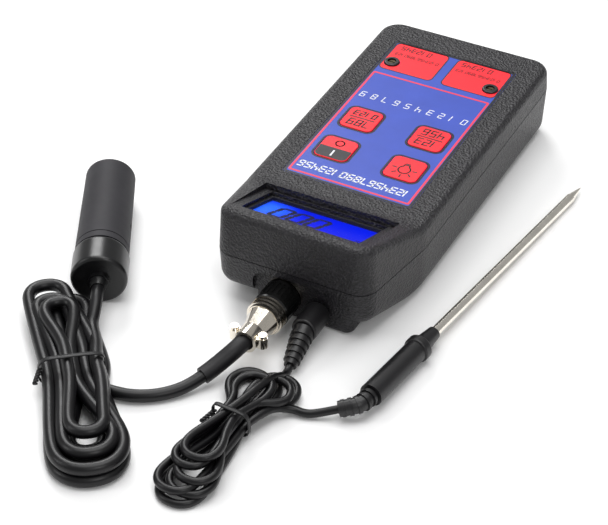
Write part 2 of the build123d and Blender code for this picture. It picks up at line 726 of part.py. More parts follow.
# ---- conductivity lead ----
def coupling_nut():
    """A knurled ring that turns on the plug and screws to the socket."""
    y0 = KEEL_FACE_Y - ROUND_FLANGE_T - GAP
    y1 = y0 - COUPLING_LENGTH
    ring = rod_y(ROUND_X, ROUND_Z, y1, y0, COUPLING_R)
    edges = ring.edges().filter_by(GeomType.CIRCLE)
    ring = chamfer(edges, 0.5)
    ring -= rod_y(ROUND_X, ROUND_Z, y1 - 1, y0 + 1, ROUND_BARREL_R + GAP)
    ridges = 24
    for step in range(ridges):
        angle = math.tau * step / ridges
        x = ROUND_X + COUPLING_R * math.cos(angle)
        z = ROUND_Z + COUPLING_R * math.sin(angle)
        ring -= rod_y(x, z, y1 + 2.0, y0 - 2.0, 0.45)
    return ring


def plug_profile():
    """Half section of the nickel plug shell, as (distance from panel, radius)."""
    nut_end = ROUND_FLANGE_T + GAP + COUPLING_LENGTH + GAP
    tail = PLUG_LENGTH - CLAMP_LENGTH
    points = [(9.0, 4.9), (9.0, 5.9), (nut_end, 5.9)]
    for step in range(PLUG_RINGS):
        start = nut_end + step * PLUG_RING_PITCH
        points.append((start, PLUG_RING_R))
        points.append((start + PLUG_RING_PITCH / 2, PLUG_RING_R))
        points.append((start + PLUG_RING_PITCH / 2, PLUG_RING_R - 0.7))
        points.append((start + PLUG_RING_PITCH, PLUG_RING_R - 0.7))
    cone = nut_end + PLUG_RINGS * PLUG_RING_PITCH
    points += [(cone, PLUG_CONE_R), (tail, 4.3), (tail, 3.55), (nut_end + 5.0, 4.9)]
    return points


def plug_shell():
    """The plug's barrel, rings and flatted cone, turned about the socket's axis."""
    outline = [(r, d) for d, r in plug_profile()]
    face = make_face(Polyline(*outline, close=True))
    solid = revolve(face, axis=Axis.Y)
    start = plug_profile()[-4][0] + 0.6
    length = PLUG_LENGTH - CLAMP_LENGTH - start
    lean = math.degrees(math.atan2(PLUG_CONE_R - 4.3, length))
    for step in range(PLUG_FLATS):
        flat = Pos(0, start + length / 2, PLUG_CONE_R - 0.35 + 5) * Box(20, length + 1, 10)
        tilted = Pos(0, start, PLUG_CONE_R) * Rot(-lean, 0, 0) * Pos(0, -start, -PLUG_CONE_R) * flat
        solid -= Rot(0, 360 * step / PLUG_FLATS, 0) * tilted
    return Pos(ROUND_X, KEEL_FACE_Y, ROUND_Z) * Rot(180, 0, 0) * solid


def plug_insert():
    y = KEEL_FACE_Y
    return rod_y(ROUND_X, ROUND_Z, y - 16.0, y - 9.5, 4.85)


def plug_pins():
    y = KEEL_FACE_Y
    pins = []
    for step in range(4):
        angle = math.radians(45 + 90 * step)
        x = ROUND_X + 2.4 * math.cos(angle)
        z = ROUND_Z + 2.4 * math.sin(angle)
        pins.append(one(rod_y(x, z, y - 9.5, y - 0.3, 0.5)))
    return Compound(pins)


def cable_clamp():
    """The saddle at the plug's tail: a tongue from the cone and two ears."""
    y0 = KEEL_FACE_Y - PLUG_LENGTH + CLAMP_LENGTH
    y1 = y0 - CLAMP_LENGTH
    middle = (y0 + y1) / 2
    solid = rod_y(ROUND_X, ROUND_Z, y1, y0, CLAMP_R)
    span = (ROUND_X - CLAMP_SCREW_X, ROUND_X + CLAMP_SCREW_X)
    solid += box(*span, middle - EAR_R, middle + EAR_R, ROUND_Z - EAR_T, ROUND_Z + EAR_T)
    for x in span:
        solid += rod_z(x, middle, ROUND_Z - EAR_T, ROUND_Z + EAR_T, EAR_R)
    solid -= rod_y(ROUND_X, ROUND_Z, y1 - 1, y0 + 1, SLEEVE_TUBE_R + 0.1)
    for side in (-1, 1):
        solid -= rod_z(ROUND_X + CLAMP_SCREW_X * side, (y0 + y1) / 2, ROUND_Z - 9, ROUND_Z + 9, 1.0)
    return solid


def clamp_screws():
    y = KEEL_FACE_Y - PLUG_LENGTH + CLAMP_LENGTH / 2
    screws = []
    for side in (-1, 1):
        x = ROUND_X + CLAMP_SCREW_X * side
        top = ROUND_Z + EAR_T
        shank = rod_z(x, y, ROUND_Z - EAR_T - 0.8, top, 0.98)
        head = rod_z(x, y, top, top + 1.4, EAR_R - 0.3)
        slot = box(x - 2, x + 2, y - 0.25, y + 0.25, top + 0.9, top + 2)
        screws.append(one(shank + head - slot))
    return Compound(screws)


def shrink_tube():
    """The sleeve shrunk over the cable where it leaves the plug."""
    points = [from_panel(place) for place in SINGLE_ROUTE]
    before = Vector(*points[SHRINK_CORNERS])
    after = Vector(*points[SHRINK_CORNERS + 1])
    end = before + (after - before) * 0.5
    radii = corner_radii(points)[:SHRINK_CORNERS]
    path = tube_path((*points[: SHRINK_CORNERS + 1], (end.X, end.Y, end.Z)), radii)
    return sweep_round(path, SLEEVE_TUBE_R, CORD_D / 2 + 0.03)


def hank_tie(far, near, far_r, near_r, height, share):
    """A tie that goes once round a hank."""
    a = Vector(*from_panel(far))
    b = Vector(*from_panel(near))
    middle = a + (b - a) * share
    along = (b - a).normalized()
    across = Vector(-along.Y, along.X)
    half = far_r + (near_r - far_r) * share + 0.9
    centre = Vector(middle.X, middle.Y, height / 2 + 0.45)
    plane = Plane(origin=centre, x_dir=across, z_dir=along)
    ring = RectangleRounded(2 * half, height + 0.9, height * 0.4)
    hole = RectangleRounded(2 * (half - TIE_T), height + 0.9 - 2 * TIE_T, height * 0.34)
    return plane.location * Pos(0, 0, -TIE_WIDTH / 2) * extrude(ring - hole, amount=TIE_WIDTH)


# ---- conductivity probe ----
PROBE_RUN = Vector(*PROBE_FAR) - Vector(*PROBE_NEAR)
PROBE_DIR = PROBE_RUN.normalized()
PROBE_LENGTH = PROBE_RUN.length
COVER_LENGTH = PROBE_LENGTH - PROBE_BODY_LENGTH


def probe_point(distance):
    spot = Vector(*from_panel(PROBE_NEAR)) + PROBE_DIR * distance
    return (spot.X, spot.Y, PROBE_R)


def probe_rod(start, length, radius, end_radius=None):
    return rod_along(probe_point(start), PROBE_DIR, length, radius, end_radius)


def probe_body():
    """The glossy head of the probe, with the stem that the cover slides on."""
    head = probe_rod(0, PROBE_BODY_LENGTH - GAP, PROBE_R)
    head = fillet(head.edges().filter_by(GeomType.CIRCLE), 1.6)
    stem = probe_rod(PROBE_BODY_LENGTH - 2, PROBE_STEM_LENGTH + 2, PROBE_STEM_R)
    groove = probe_rod(PROBE_BODY_LENGTH + 4, 1.8, PROBE_STEM_R + 1) - probe_rod(
        PROBE_BODY_LENGTH + 3, 4, PROBE_STEM_R - 1.3
    )
    return head + stem - groove - probe_rod(-1, 6, GLAND_R - 1.0)


def probe_o_ring():
    plane = Plane(origin=probe_point(PROBE_BODY_LENGTH + 4.9), z_dir=PROBE_DIR)
    return plane.location * Torus(PROBE_STEM_R - 0.55, 0.75)


def probe_gland():
    """The collar and soft relief that the cable comes out of."""
    collar = probe_rod(-1.6, 1.6, GLAND_R)
    tail = probe_rod(-GLAND_LENGTH, GLAND_LENGTH - 1.6, GLAND_R - 1.3, GLAND_R - 0.6)
    plug = probe_rod(0, 4.8, GLAND_R - 1.05)
    return collar + tail + plug


def probe_cover():
    """The open sleeve that guards the electrodes, with a band by its rim."""
    outer = probe_rod(PROBE_BODY_LENGTH, COVER_LENGTH, COVER_R_NEAR, COVER_R_FAR)
    step = probe_rod(PROBE_BODY_LENGTH + 3.2, 0.5, COVER_R_NEAR + 1) - probe_rod(
        PROBE_BODY_LENGTH + 3, 1, COVER_R_NEAR - 0.35
    )
    bore = probe_rod(PROBE_BODY_LENGTH - 1, COVER_LENGTH + 2, COVER_R_FAR - COVER_WALL + 0.3)
    side = Vector(-PROBE_DIR.Y, PROBE_DIR.X)
    middle = Vector(*probe_point(PROBE_BODY_LENGTH + PROBE_STEM_LENGTH + 6))
    vents = rod_along(middle - side * 20, side, 40, VENT_R)
    return outer - step - bore - vents


def probe_electrodes():
    pins = []
    side = Vector(-PROBE_DIR.Y, PROBE_DIR.X)
    for offset in (-3.0, 3.0):
        start = Vector(*probe_point(PROBE_BODY_LENGTH + PROBE_STEM_LENGTH)) + side * offset
        pins.append(one(rod_along(start, PROBE_DIR, 14, 1.5)))
    return Compound(pins)


# ---- temperature lead ----
def jack_plug_pin():
    """The metal pin of the jack plug, with its waist and tip."""
    y = KEEL_FACE_Y - 1.2 - GAP
    pin = rod_y(JACK_X, JACK_Z, y, y + PULL, JACK_PIN_R)
    tip = rod_y(JACK_X, JACK_Z, y + PULL - 2.6, y + PULL - 2.0, JACK_PIN_R + 1) - rod_y(
        JACK_X, JACK_Z, y + PULL - 3, y + PULL, JACK_PIN_R - 0.35
    )
    return pin - tip


def jack_body():
    """The moulded grip of the jack plug, with a ribbed relief that droops."""
    y = KEEL_FACE_Y - 1.2 - GAP
    grip = rod_y(JACK_X, JACK_Z, y - JACK_BODY_LENGTH, y, JACK_BODY_R)
    grip = fillet(grip.edges().filter_by(GeomType.CIRCLE), 0.8)
    start = Vector(JACK_X, y - JACK_BODY_LENGTH + 0.5, JACK_Z)
    run = Vector(*from_panel(RELIEF_END)) - start
    relief = rod_along(start, run.normalized(), run.length, JACK_BODY_R - 1.0, WIRE_D / 2 + 0.9)
    body = grip + relief
    for step in range(5):
        place = start + run * (0.16 + 0.16 * step)
        radius = JACK_BODY_R - 0.75 - 0.28 * step
        body += rod_along(place, run.normalized(), 1.3, radius)
    return body


NEEDLE_RUN = Vector(*NEEDLE_TIP) - Vector(*NEEDLE_ROOT)
NEEDLE_PLAIN = NEEDLE_RUN.length - NEEDLE_POINT


def needle_frame():
    """Where the needle leaves its handle, and the direction it points in."""
    return Vector(*from_panel(NEEDLE_ROOT)), NEEDLE_RUN.normalized()


def needle():
    """The pointed steel tube, hollow for the sensor."""
    root, along = needle_frame()
    seat = rod_along(root - along * NEEDLE_SEAT, along, NEEDLE_SEAT, NEEDLE_SEAT_R)
    plain = rod_along(root, along, NEEDLE_PLAIN, NEEDLE_R)
    point = rod_along(root + along * NEEDLE_PLAIN, along, NEEDLE_POINT, NEEDLE_R, 0.25)
    bore = rod_along(root - along * 7, along, NEEDLE_PLAIN + 3, NEEDLE_BORE_R)
    return seat + plain + point - bore


def sensor_bead():
    root, along = needle_frame()
    return rod_along(root + along * (NEEDLE_PLAIN - 10), along, 5.9, NEEDLE_BORE_R)


def temp_handle():
    """The moulded handle: grip, collar and nose, in line with the needle."""
    root, along = needle_frame()
    nose_start = root - along * NOSE_LENGTH
    nose = rod_along(nose_start, along, NOSE_LENGTH, HANDLE_R - 0.9, NEEDLE_R + 0.7)
    collar_start = root - along * (NOSE_LENGTH + COLLAR_LENGTH)
    collar = rod_along(collar_start, along, COLLAR_LENGTH, COLLAR_R)
    collar = fillet(collar.edges().filter_by(GeomType.CIRCLE), 0.8)
    grip = rod_along(collar_start - along * HANDLE_LENGTH, along, HANDLE_LENGTH + 0.5, HANDLE_R)
    return nose + collar + grip - rod_along(root - along * NEEDLE_SEAT, along, 8, NEEDLE_SEAT_R)


def handle_end():
    root, along = needle_frame()
    return root - along * (NOSE_LENGTH + COLLAR_LENGTH + HANDLE_LENGTH)


def temp_relief():
    """The ribbed relief that turns from the handle to the cable."""
    end = handle_end()
    _, along = needle_frame()
    knee = end - along * 6.5
    last = Vector(*from_panel(TAIL_B_ROUTE[-1]))
    path = FilletPolyline(end, knee, last, radius=6.0)
    start = Plane(origin=path @ 0, z_dir=path % 0)
    body = sweep(start * Circle(RELIEF_B_R), path=path)
    for step in range(5):
        share = 0.12 + 0.19 * step
        rib = Plane(origin=path @ share, z_dir=path % share)
        body += rib.location * Cylinder(RELIEF_B_R + 0.65 - 0.1 * step, 1.3)
    return body


def build():
    parts = {
        "top_shell": top_shell(),
        "bottom_shell": bottom_shell(),
        "case_screws": case_screws(),
        "membrane_overlay": membrane_overlay(),
        "trimmer_rings": trimmer_rings(),
        "trimmer_bodies": trimmer_bodies(),
        "trimmer_screw_left": trimmer_screw(-TRIM_X),
        "trimmer_screw_right": trimmer_screw(TRIM_X),
        "display_window": display_window(),
        "display_gasket": display_gasket(),
        "lcd_glass": display_stack(LCD_DEPTH, LCD_T, LCD_WIDTH, LCD_LENGTH),
        "backlight": display_stack(BACKLIGHT_DEPTH, BACKLIGHT_T, LCD_WIDTH - 2, LCD_LENGTH),
        "lcd_carrier": display_stack(CARRIER_DEPTH, BOARD_T, LCD_WIDTH, LCD_LENGTH),
        "main_board": main_board(),
        "board_screws": board_screws(),
        "tact_switches": tact_switches(),
        "board_chips": board_chips(),
        "battery_case": battery_case(),
        "battery_studs": battery_studs(),
        "battery_snap": battery_snap(),
        "battery_leads": battery_leads(),
        "battery_pad": battery_pad(),
        "battery_door": battery_door(),
        "round_socket": round_socket(),
        "round_socket_insert": round_socket_insert(),
        "round_socket_nut": round_socket_nut(),
        "jack_socket": jack_socket(),
        "jack_socket_nut": jack_socket_nut(),
        "coupling_nut": coupling_nut(),
        "plug_shell": plug_shell(),
        "plug_insert": plug_insert(),
        "plug_pins": plug_pins(),
        "cable_clamp": cable_clamp(),
        "clamp_screws": clamp_screws(),
        "shrink_tube": shrink_tube(),
        "probe_cable": tube("probe_cable", SINGLE_ROUTE, CORD_D),
        "probe_hank": hank(*HANK_A),
        "probe_hank_tie": hank_tie(*HANK_A, HANK_A_TIE),
        "probe_cable_tail": tube("probe_cable_tail", TAIL_A_ROUTE, CORD_D),
        "probe_gland": probe_gland(),
        "probe_body": probe_body(),
        "probe_o_ring": probe_o_ring(),
        "probe_cover": probe_cover(),
        "probe_electrodes": probe_electrodes(),
        "jack_plug_pin": jack_plug_pin(),
        "jack_plug_body": jack_body(),
        "temp_cable": tube("temp_cable", LEAD_B_ROUTE, WIRE_D),
        "temp_hank": hank(*HANK_B),
        "temp_hank_tie": hank_tie(*HANK_B, HANK_B_TIE),
        "temp_cable_tail": tube("temp_cable_tail", TAIL_B_ROUTE, WIRE_D),
        "temp_relief": temp_relief(),
        "temp_handle": temp_handle(),
        "temp_needle": needle(),
        "sensor_bead": sensor_bead(),
    }
    for name, (x, y) in KEYS.items():
        parts[name] = key(x, y)
    return parts


os.makedirs("parts", exist_ok=True)
for node, shape in build().items():
    export_step(one(shape), f"parts/{node}.step")
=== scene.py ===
import bpy
import bmesh
import math
from mathutils import Matrix, Vector


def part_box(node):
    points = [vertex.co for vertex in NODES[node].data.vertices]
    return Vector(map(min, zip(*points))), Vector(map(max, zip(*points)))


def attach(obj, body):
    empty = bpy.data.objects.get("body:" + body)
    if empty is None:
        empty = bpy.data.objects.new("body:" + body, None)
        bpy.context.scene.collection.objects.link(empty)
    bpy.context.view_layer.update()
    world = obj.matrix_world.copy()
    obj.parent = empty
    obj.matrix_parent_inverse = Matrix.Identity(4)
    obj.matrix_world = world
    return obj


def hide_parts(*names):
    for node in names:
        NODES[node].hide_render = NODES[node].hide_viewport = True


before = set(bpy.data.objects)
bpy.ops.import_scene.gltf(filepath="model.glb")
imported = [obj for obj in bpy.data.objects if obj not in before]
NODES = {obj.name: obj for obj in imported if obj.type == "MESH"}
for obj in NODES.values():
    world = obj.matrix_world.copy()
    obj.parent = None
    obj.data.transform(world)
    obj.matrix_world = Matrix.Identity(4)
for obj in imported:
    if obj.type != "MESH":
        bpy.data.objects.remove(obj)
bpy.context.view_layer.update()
MM = 0.001

# ---- places that the frame gives ----
OVERLAY_LO, OVERLAY_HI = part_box("membrane_overlay")
OVERLAY_TOP = OVERLAY_HI.z
PRINT = 0.04 * MM          # thickness of a printed layer
DIGIT_LIFT = 0.01 * MM     # the display's digits over its glass


def mm(*values):
    """A point given in millimetres."""
    return Vector(values) * MM


# ---- objects from meshes ----
def link(name, mesh):
    piece = bpy.data.objects.new(name, mesh)
    bpy.context.scene.collection.objects.link(piece)
    return piece


def from_bmesh(name, bm, smooth=True):
    mesh = bpy.data.meshes.new(name)
    bmesh.ops.recalc_face_normals(bm, faces=bm.faces)
    bm.to_mesh(mesh)
    bm.free()
    for polygon in mesh.polygons:
        polygon.use_smooth = smooth
    return link(name, mesh)


def join_rings(bm, rings):
    """Faces between each ring of vertices and the next, and from the last to the first."""
    for a, b in zip(rings, rings[1:] + rings[:1]):
        for k in range(len(a)):
            n = (k + 1) % len(a)
            bm.faces.new((a[k], a[n], b[n], b[k]))


def prism(bm, low, high):
    """A closed solid between two outlines with the same number of vertices."""
    bm.faces.new(high)
    bm.faces.new(low[::-1])
    for k in range(len(low)):
        n = (k + 1) % len(low)
        bm.faces.new((low[k], low[n], high[n], high[k]))


def finish_piece(piece, material, body="meter"):
    piece.data.materials.clear()
    piece.data.materials.append(material)
    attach(piece, body)
    return piece


# ---- node materials ----
class Shader:
    """A small builder for node materials in object coordinates."""

    def __init__(self, name):
        self.material = bpy.data.materials.new(name)
        self.material.use_nodes = True
        self.tree = self.material.node_tree
        self.bsdf = self.tree.nodes["Principled BSDF"]
        self.place = self.tree.nodes.new("ShaderNodeTexCoord").outputs["Object"]

    def node(self, kind, **settings):
        made = self.tree.nodes.new(kind)
        for key, value in settings.items():
            setattr(made, key, value)
        return made

    def join(self, out, into):
        self.tree.links.new(out, into)

    def noise(self, scale, detail):
        made = self.node("ShaderNodeTexNoise")
        made.inputs["Scale"].default_value = scale
        made.inputs["Detail"].default_value = detail
        self.join(self.place, made.inputs["Vector"])
        return made.outputs["Fac"]

    def cells(self, scale):
        made = self.node("ShaderNodeTexVoronoi")
        made.inputs["Scale"].default_value = scale
        self.join(self.place, made.inputs["Vector"])
        return made.outputs["Distance"]

    def ramp(self, value, low, high):
        made = self.node("ShaderNodeValToRGB")
        made.color_ramp.elements[0].position = 0.3
        made.color_ramp.elements[1].position = 0.7
        made.color_ramp.elements[0].color = (*low, 1)
        made.color_ramp.elements[1].color = (*high, 1)
        self.join(value, made.inputs["Fac"])
        return made.outputs["Color"]

    def span(self, value, low, high):
        made = self.node("ShaderNodeMapRange")
        made.inputs["To Min"].default_value = low
        made.inputs["To Max"].default_value = high
        self.join(value, made.inputs["Value"])
        return made.outputs["Result"]

    def bump(self, value, distance, strength):
        made = self.node("ShaderNodeBump")
        made.inputs["Distance"].default_value = distance
        made.inputs["Strength"].default_value = strength
        self.join(value, made.inputs["Height"])
        self.join(made.outputs["Normal"], self.bsdf.inputs["Normal"])

    def colour(self, out):
        self.join(out, self.bsdf.inputs["Base Color"])

    def rough(self, out):
        self.join(out, self.bsdf.inputs["Roughness"])

    def set(self, **values):
        """Sets the shader's own sockets, with _ standing for a space in their names."""
        for key, value in values.items():
            self.bsdf.inputs[key.replace("_", " ")].default_value = value


def scaled(colour, factor):
    """The colour made paler or darker."""
    return tuple(min(1.0, c * factor) for c in colour)


def plastic(name, colour, rough, grain=900.0, depth=0.00002, variation=0.12, specular=0.5):
    """Moulded plastic: slight colour variation and a fine grain."""
    s = Shader(name)
    broad = s.noise(60.0, 4.0)
    s.colour(s.ramp(broad, scaled(colour, 1 - variation), scaled(colour, 1 + variation)))
    s.rough(s.span(s.noise(220.0, 3.0), rough - 0.05, rough + 0.06))
    s.bump(s.noise(grain, 2.0), depth, 0.6)
    s.set(Specular_IOR_Level=specular)
    return s.material


def pebble(name, colour, rough):
    """The case's pebble grain, with its colour and height from the same cells."""
    s = Shader(name)
    cells = s.cells(950.0)
    fine = s.noise(1500.0, 3.0)
    mix = s.node("ShaderNodeMath", operation="ADD")
    s.join(cells, mix.inputs[0])
    s.join(fine, mix.inputs[1])
    s.colour(s.ramp(cells, scaled(colour, 0.55), scaled(colour, 1.6)))
    s.rough(s.span(fine, rough - 0.1, rough + 0.1))
    s.bump(mix.outputs[0], 0.00034, 1.0)
    s.set(Specular_IOR_Level=0.5)
    return s.material


def metal(name, colour, rough):
    """Plated or polished metal with faint wear and tool marks."""
    s = Shader(name)
    s.set(Metallic=1.0)
    wear = s.noise(130.0, 5.0)
    s.colour(s.ramp(wear, scaled(colour, 0.9), scaled(colour, 1.05)))
    s.rough(s.span(s.noise(420.0, 4.0), rough * 0.75, rough * 1.35))
    s.bump(s.noise(700.0, 3.0), 0.000006, 0.5)
    return s.material


def printed(name, colour, rough=0.42, variation=0.06):
    """Ink on a satin film."""
    s = Shader(name)
    low, high = scaled(colour, 1 - variation), scaled(colour, 1 + variation)
    s.colour(s.ramp(s.noise(90.0, 4.0), low, high))
    s.rough(s.span(s.noise(500.0, 3.0), rough - 0.06, rough + 0.06))
    s.bump(s.noise(1600.0, 2.0), 0.000008, 0.5)
    s.set(Specular_IOR_Level=0.35)
    return s.material


def jacket(name, colour, rough):
    """A cable's PVC jacket: satin, with long faint ripples."""
    s = Shader(name)
    s.colour(s.ramp(s.noise(70.0, 3.0), scaled(colour, 0.8), scaled(colour, 1.25)))
    s.rough(s.span(s.noise(160.0, 3.0), rough - 0.07, rough + 0.08))
    s.bump(s.noise(380.0, 3.0), 0.00005, 0.5)
    s.set(Specular_IOR_Level=0.36)
    return s.material


def lit_display(name):
    """The backlit display: deep blue with a paler patch by the lamp."""
    s = Shader(name)
    lo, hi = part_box("lcd_glass")
    lamp = s.node("ShaderNodeVectorMath", operation="DISTANCE")
    s.join(s.place, lamp.inputs[0])
    lamp.inputs[1].default_value = (lo.x + 0.004, (lo.y + hi.y) / 2 + 0.001, (lo.z + hi.z) / 2)
    near = s.node("ShaderNodeMapRange", interpolation_type="SMOOTHERSTEP")
    near.inputs["From Min"].default_value = 0.001
    near.inputs["From Max"].default_value = 0.017
    s.join(lamp.outputs["Value"], near.inputs["Value"])
    made = s.node("ShaderNodeValToRGB")
    made.color_ramp.elements[0].color = (0.016, 0.09, 0.72, 1)
    made.color_ramp.elements[1].color = (0.0002, 0.006, 0.42, 1)
    s.join(near.outputs["Result"], made.inputs["Fac"])
    mottle = s.node("ShaderNodeMix", data_type="RGBA", blend_type="MULTIPLY")
    mottle.inputs["Factor"].default_value = 0.25
    s.join(made.outputs["Color"], mottle.inputs["A"])
    s.join(s.ramp(s.noise(300.0, 3.0), (0.8, 0.8, 0.9), (1, 1, 1)), mottle.inputs["B"])
    s.join(mottle.outputs["Result"], s.bsdf.inputs["Emission Color"])
    s.join(mottle.outputs["Result"], s.bsdf.inputs["Base Color"])
    s.set(Emission_Strength=0.9, Roughness=0.3, Specular_IOR_Level=0.1)
    return s.material


def clear(name):
    """The display window, so clear that it hardly shows."""
    s = Shader(name)
    s.colour(s.ramp(s.noise(50.0, 2.0), (0.95, 0.96, 1.0), (1, 1, 1)))
    s.rough(s.span(s.noise(200.0, 2.0), 0.02, 0.06))
    s.set(Transmission_Weight=1.0, IOR=1.02, Alpha=0.05, Specular_IOR_Level=0.1)
    return s.material


MAT = {
    "case": pebble("case_black", (0.0068, 0.0060, 0.0082), 0.41),
    "overlay": printed("overlay_blue", (0.036, 0.074, 0.43)),
    # black painted round the film's edge for the shade of its recess
    "overlay_recess_shade": printed("overlay_recess_painted_shade", (0.008, 0.008, 0.012)),
    "red": printed("print_red", (0.95, 0.013, 0.026), 0.42, 0.03),
    "line_red": printed("print_line_red", (0.72, 0.04, 0.09), 0.42, 0.05),
    "grey": printed("print_dark_grey", (0.020, 0.018, 0.022)),
    "ink": printed("print_black", (0.010, 0.008, 0.012)),
    "segment": printed("segment_black", (0.004, 0.004, 0.02), 0.5),
    "white": printed("print_white", (0.78, 0.80, 0.86), 0.5),
    "ring": plastic("ring_black", (0.012, 0.012, 0.013), 0.3),
    "trimmer": plastic("trimmer_blue", (0.02, 0.09, 0.35), 0.35),
    "brass": metal("adjuster_brass", (0.10, 0.08, 0.05), 0.45),
    "steel": metal("screw_steel", (0.62, 0.62, 0.64), 0.28),
    "clear": clear("window_clear"),
    "gasket": plastic("gasket_black", (0.006, 0.006, 0.007), 0.7),
    "lcd": lit_display("lcd_blue"),
    "diffuser": plastic("backlight_white", (0.8, 0.86, 0.92), 0.3),
    "board": plastic("board_green", (0.01, 0.12, 0.04), 0.35),
    "switch": plastic("switch_black", (0.015, 0.015, 0.015), 0.5),
    "battery": metal("battery_can", (0.25, 0.25, 0.27), 0.4),
    "nickel": metal("nickel_plate", (0.86, 0.80, 0.70), 0.14),
    "contact": metal("contact_nickel", (0.72, 0.70, 0.66), 0.25),
    "foam": plastic("foam_grey", (0.06, 0.06, 0.06), 0.9, 500.0, 0.0002),
    "insert": plastic("insert_black", (0.015, 0.015, 0.015), 0.5),
    "coupling": plastic("coupling_black", (0.003, 0.003, 0.003), 0.2),
    "shrink": jacket("shrink_grey", (0.009, 0.0085, 0.010), 0.48),
    "cable": jacket("cable_black", (0.0042, 0.0040, 0.0048), 0.36),
    "tie": jacket("tie_black", (0.014, 0.014, 0.015), 0.42),
    "gloss": plastic("probe_gloss", (0.004, 0.004, 0.0045), 0.3, 700.0, 0.00001),
    "matte": plastic("probe_matte", (0.030, 0.029, 0.033), 0.62, 1200.0, 0.00002, specular=0.3),
    "rubber": plastic("o_ring_rubber", (0.02, 0.02, 0.02), 0.5),
    "needle": metal("needle_steel", (0.92, 0.88, 0.80), 0.2),
    "jack": metal("jack_metal", (0.75, 0.68, 0.5), 0.2),
    "mould": plastic("mould_black", (0.006, 0.0056, 0.0066), 0.40, 800.0, 0.00002),
    "sensor": plastic("sensor_amber", (0.5, 0.3, 0.08), 0.3),
}

NODE_MATERIALS = {
    "case": ("top_shell", "bottom_shell", "battery_door"),
    "overlay": ("membrane_overlay",),
    "red": ("key_mode", "key_unit", "key_light", "key_power"),
    "ring": ("trimmer_rings",),
    "trimmer": ("trimmer_bodies",),
    "brass": ("trimmer_screw_left", "trimmer_screw_right"),
    "steel": ("case_screws", "board_screws"),
    "clear": ("display_window",),
    "gasket": ("display_gasket",),
    "lcd": ("lcd_glass",),
    "diffuser": ("backlight",),
    "board": ("main_board", "lcd_carrier"),
    "switch": ("tact_switches", "board_chips"),
    "battery": ("battery_case",),
    "contact": ("battery_studs", "plug_pins"),
    "insert": (
        "battery_snap",
        "battery_leads",
        "round_socket_insert",
        "plug_insert",
        "jack_socket",
    ),
    "foam": ("battery_pad",),
    "nickel": (
        "round_socket",
        "round_socket_nut",
        "jack_socket_nut",
        "plug_shell",
        "cable_clamp",
        "clamp_screws",
    ),
    "coupling": ("coupling_nut",),
    "shrink": ("shrink_tube",),
    "gloss": ("probe_body", "probe_gland"),
    "matte": ("probe_cover",),
    "rubber": ("probe_o_ring",),
    "needle": ("probe_electrodes", "temp_needle"),
    "jack": ("jack_plug_pin",),
    "mould": ("jack_plug_body", "temp_relief", "temp_handle"),
    "sensor": ("sensor_bead",),
}


for key, names in NODE_MATERIALS.items():
    for name in names:
        NODES[name].data.materials.clear()
        NODES[name].data.materials.append(MAT[key])

# ---- cords ----
CORD_D = 5.0 * MM
WIRE_D = 3.2 * MM
TIE_TWIST_D = 1.05 * MM
# The next four are points in millimetres.
PROBE_LEAD = [
    (-3.0, -111.0, 11.5),
    (-4.6, -118.5, 10.3),
    (-8.9, -127.0, 6.4),
    (-14.2, -138.5, 3.2),
    (-21.0, -146.8, 2.6),
    (-29.6, -152.2, 2.6),
]
PROBE_TAIL = [
    (-62.6, -128.4, 6.8),
    (-64.0, -123.6, 9.2),
    (-66.2, -118.1, 11.2),
    (-68.7, -113.2, 11.2),
]
TEMP_LEAD = [
    (14.4, -112.2, 4.2),
    (15.1, -116.9, 2.9),
]
TEMP_TAIL = [
    (25.5, -131.6, 2.8),
    (31.0, -131.2, 1.9),
    (36.3, -128.5, 2.85),
    (41.6, -125.6, 4.4),
]


# A loop's points (across, along), in radii from its middle.
FAR_TURNS = ((1.0, 0.35), (0.93, -0.5), (0.42, -1.0), (-0.42, -1.0), (-0.93, -0.5), (-1.0, 0.35))
NEAR_TURNS = ((-1.0, -0.35), (-0.93, 0.5), (-0.42, 1.0), (0.42, 1.0), (0.93, 0.5), (1.0, -0.35))


class Hank:
    """Places in a hank: along from its far centre, across to its right, and up."""

    def __init__(self, far, near):
        self.far = Vector((far[0], far[1], 0))
        run = Vector((near[0], near[1], 0)) - self.far
        self.length = run.length
        self.along = run.normalized()
        self.right = Vector((-self.along.y, self.along.x, 0))

    def at(self, along, across, up):
        return self.far + self.along * along + self.right * across + Vector((0, 0, up))

    def loop(self, turns, middle, across, radius, up):
        return [self.at(middle + radius * b, across + radius * a, up) for a, b in turns]

    def far_loop(self, shift, across, radius, up):
        """Round the far end, from the right strand to the left one."""
        return self.loop(FAR_TURNS, shift, across, radius, up)

    def near_loop(self, shift, across, radius, up):
        """Round the near end, from the left strand to the right one."""
        return self.loop(NEAR_TURNS, self.length + shift, across, radius, up)


def nurbs_tube(name, points, diameter, material, body):
    """A tube on one open spline. Its points carry the radius, so its box is the tube's own."""
    curve = bpy.data.curves.new(name, "CURVE")
    curve.dimensions = "3D"
    spline = curve.splines.new("NURBS")
    spline.points.add(len(points) - 1)
    for target, point in zip(spline.points, points):
        target.co = (*(Vector(point) * MM), 1)
        target.radius = diameter / 2
    spline.order_u = 3
    spline.use_endpoint_u = True
    spline.resolution_u = 8
    curve.bevel_depth = 1.0
    curve.bevel_resolution = 5
    curve.use_fill_caps = True
    piece = bpy.data.objects.new(name, curve)
    bpy.context.scene.collection.objects.link(piece)
    curve.materials.append(material)
    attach(piece, body)
    return piece


